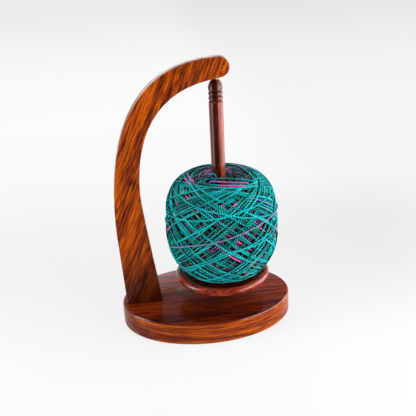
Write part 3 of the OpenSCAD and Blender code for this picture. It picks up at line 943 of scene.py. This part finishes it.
# %% [markdown]
# The ball's top sinks to the hole that the spindle goes through. There the first turns of the
# yarn show, blue and lavender more than teal. They are a short winding of their own, which
# runs between the rim of the outer turns and the wall of the hole.

# %% The turns in the crater
crater_curve = np.array([[39.0, -2.6], [30.0, -2.0], [20.0, -5.0], [13.8, -17.0]]) * MM
crater_curve[:, 1] += crest_z
crater_steps = 160
crater_waver = 1.3 * MM
crater_shadow = 3.0 * MM
outer_turns = (0.0, 0.3)
inner_turns = (0.5, 1.0)


def crater_winding(cycles, turns, sink, seed):
    """A line that goes in and out between the crest and the hole."""
    draw = np.random.default_rng(seed)
    share = (np.arange(cycles * crater_steps) + 0.5) / crater_steps
    half = np.floor(2 * share).astype(int)
    ends = np.empty(2 * cycles + 1)
    ends[0::2] = draw.uniform(*outer_turns, cycles + 1)
    ends[1::2] = draw.uniform(*inner_turns, cycles)
    first, last = ends[half], ends[half + 1]
    v = (first + last) / 2 + np.abs(last - first) / 2 * np.sin(2 * np.pi * share - np.pi / 2)
    turn = 2 * np.pi * share * turns / cycles
    profile = cubic(crater_curve, v)
    profile[:, 1] -= sink + crater_waver * np.sin(3.1 * turn + 5 * v)
    return round_axis(profile, turn), np.full(len(v), crater_shadow)


points, depth = crater_winding(cycles=38, turns=23, sink=1.4 * MM, seed=3)
path, along, depth = evened(points, outer_step, depth)
upwards = np.tile((0.0, 0.0, 1.0), (len(path), 1))
crater = plied_strand("crater_yarn", path, along, depth, strand_d / 2, 8, upwards)
crater.data.materials.append(crater_yarn)


# %% [markdown]
# A few strands stand out in the photograph: the last turns, which lie over all the others, and
# a thin lavender one that crosses the front. They are laid where the photograph shows them. The
# camera's line is followed over the distances at which it can meet the ball, which is taken as
# closed over its crater.

# %% Places on the ball that the camera sees
sight_depths = np.linspace(0.50, 0.85, 1400)[:, None]
shares = np.linspace(0.0, 1.0, 400)
outline = skin(shares)


def hit_on_ball(pixel):
    """The point where the camera's line through a pixel meets the ball, or passes nearest."""
    points = np.array(camera_at) + sight_depths * sight(pixel)
    reach = np.hypot(points[:, 0] - ball_x, points[:, 1])
    gap = reach - np.interp(points[:, 2], outline[:, 1], outline[:, 0], left=0.0, right=0.0)
    inside = np.nonzero(gap < 0)[0]
    return points[inside[0]] if len(inside) else points[np.argmin(gap)]


def seen_on_ball(pixel):
    """The angle about the ball and the share of its outline that lie at a pixel."""
    hit = hit_on_ball(pixel)
    angle = math.atan2(hit[1], hit[0] - ball_x)
    return angle, float(np.interp(hit[2], outline[:, 1], shares))


def smooth_line(places, steps=200):
    """A smooth line through a few places, the same number of steps from each to the next."""
    places = np.asarray(places, float)
    at = np.linspace(0, len(places) - 1.001, steps)
    k = at.astype(int)
    s = (at - k)[:, None]
    before, here = places[np.maximum(k - 1, 0)], places[k]
    after, beyond = places[k + 1], places[np.minimum(k + 2, len(places) - 1)]
    return here + 0.5 * s * (after - before + s * (2 * before - 5 * here + 4 * after - beyond
                                                    + s * (3 * (here - after) + beyond - before)))


# %% [markdown]
# Each strand goes on a little beyond what is seen, and sinks between the others there, so that
# it doesn't stop short on the surface. The lavender one is the thinnest and lies uppermost.

# %% The strands that cross the front
teal_seen = (
    ((167, 214), (176, 218), (189, 221), (203, 221), (217, 219), (231, 216), (243, 211), (256, 206),
     (266, 199), (273, 192)),
    ((173, 186), (180, 196), (190, 204), (203, 210), (217, 213), (231, 216), (245, 218), (259, 217),
     (273, 214)),
    ((189, 211), (208, 203), (226, 194), (247, 186), (256, 182)),
    ((177, 268), (194, 266), (211, 260), (229, 253), (247, 248), (264, 241), (274, 231)),
    ((256, 186), (245, 200), (232, 213), (219, 220), (200, 231), (180, 241)),
    ((277, 220), (271, 231), (257, 242), (236, 252), (217, 260), (194, 268), (183, 270)),
    ((170, 206), (180, 214), (194, 228), (208, 239), (222, 248), (236, 256), (250, 262)))
lavender_seen = ((170, 246), (189, 246), (208, 244), (231, 238), (245, 232), (259, 225), (270, 217),
                 (277, 206))
ends_dip = 5.0 * MM
further = 0.4


def laid_on_ball(name, pixels, thickness, lifted, material):
    """A strand over the ball that the camera sees along a row of pixels, and a little beyond."""
    places = np.array([seen_on_ball(pixel) for pixel in pixels])
    places[:, 0] = np.unwrap(places[:, 0])
    first, last = places[0] - places[1], places[-1] - places[-2]
    places = np.array([places[0] + first * further / abs(first[0]), *places,
                       places[-1] + last * further / abs(last[0])])
    places[:, 1] = np.clip(places[:, 1], 0.03, 0.97)
    line = smooth_line(places)
    run = np.linspace(0, len(places) - 1, len(line))
    dip = ends_dip * np.maximum(0, 1 - np.minimum(run, len(places) - 1 - run))
    depth = strand_d / 2 - proud - lifted + dip
    laid = round_axis(below_skin(line[:, 1], depth), line[:, 0])
    path, along, depth = evened(laid, outer_step, depth)
    strand = plied_strand(name, path, along, depth, thickness / 2, 8)
    strand.data.materials.append(material)


for i, pixels in enumerate(teal_seen):
    laid_on_ball(f"last_turn_{i + 1}", pixels, strand_d, -0.3 * lay, last_yarn)
laid_on_ball("lavender_strand", lavender_seen, 0.65 * strand_d, 0.4 * lay, lavender_yarn)

# %% [markdown]
# Other strands cross the crater's rim, and that is why the crest hides the spindle's foot. They
# are laid in the same way, over the closed crater too, and raised or sunk by the millimetres
# that are given. Each starts at another place in the dyed lengths.

# %% The strands over the rim
rim_seen = (
    ("teal", 1.0, ((194, 187), (201, 182.5), (208, 180), (222, 179.4), (236, 180), (250, 181.5),
                   (258, 185))),
    ("pink", 0.1, ((196, 182), (204, 184.2), (214, 185.3), (228, 186.2), (240, 186.3), (251, 185.8))),
    ("lilac", 0.6, ((208, 181.8), (217, 182.3), (229, 183.0), (240, 183.3), (251, 183.5))),
    ("teal", 0.5, ((193, 185), (203, 187), (214, 188), (233, 188.8), (250, 187.5), (260, 184))),
    ("teal", -0.7, ((222, 163.5), (236, 165.2), (246, 170.4), (253, 176.6), (258, 184.0))),
    ("pink", 0.5, ((184, 175), (186.5, 180), (190.5, 185))),
    ("lilac", 0.8, ((187.5, 173.5), (190, 178.5), (195, 183.5))),
    ("teal", 0.4, ((180, 186), (184, 176), (191, 170), (202, 166.2), (214, 164.6))),
    ("teal", 0.4, ((193, 190), (190.5, 182), (193, 174.5), (203, 168.8), (213, 165.4))))
rim_dyes = {"teal": last_yarn, "pink": pink_yarn, "lilac": lilac_yarn}
ends_share = 0.12
dye_shift = 0.37

for i, (dyed_with, lifted, pixels) in enumerate(rim_seen):
    line = smooth_line([hit_on_ball(pixel) for pixel in pixels])
    run = np.linspace(0, 1, len(line))
    out = line - ball_middle
    out /= np.linalg.norm(out, axis=1)[:, None]
    dip = ends_dip * np.maximum(0, 1 - np.minimum(run, 1 - run) / ends_share)
    path, along = evened(line + (lifted * MM - dip)[:, None] * out, outer_step)
    strand = plied_strand(f"rim_strand_{i + 1}", path, along + dye_shift * i, np.zeros(len(path)),
                          strand_d / 2, 8)
    strand.data.materials.append(rim_dyes[dyed_with])

# %% [markdown]
# The yarn's inner end stands up in the crater as a small blue loop, left of the spindle. It is
# an arc of a circle whose ends go down into the turns.

# %% The loop of the inner end
loop_r = 4.0 * MM
loop_x = axis_x - 9.5 * MM
loop_y = -17.0 * MM
loop_z = crest_z + 2.4 * MM
turn = np.radians(np.linspace(-62, 242, 60))
ring = np.stack([loop_x + loop_r * np.cos(turn), loop_y + 0.25 * loop_r * np.sin(2 * turn),
                 loop_z + loop_r * np.sin(turn)], axis=1)
sunk = np.array([[0.0, 0.0, -4.0 * MM]])
path, along = evened(np.concatenate([ring[:1] + sunk, ring, ring[-1:] + sunk]), 0.7 * MM)
loop = plied_strand("yarn_end_loop", path, along, np.zeros(len(path)), 0.56 * strand_d, 8)
loop.data.materials.append(blue_yarn)

# %% [markdown]
# Last, the box round all that is shown is printed.

# %% The sizes, and the end
low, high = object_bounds()
print("visual", [round(v, 4) for v in (*low, *high)])
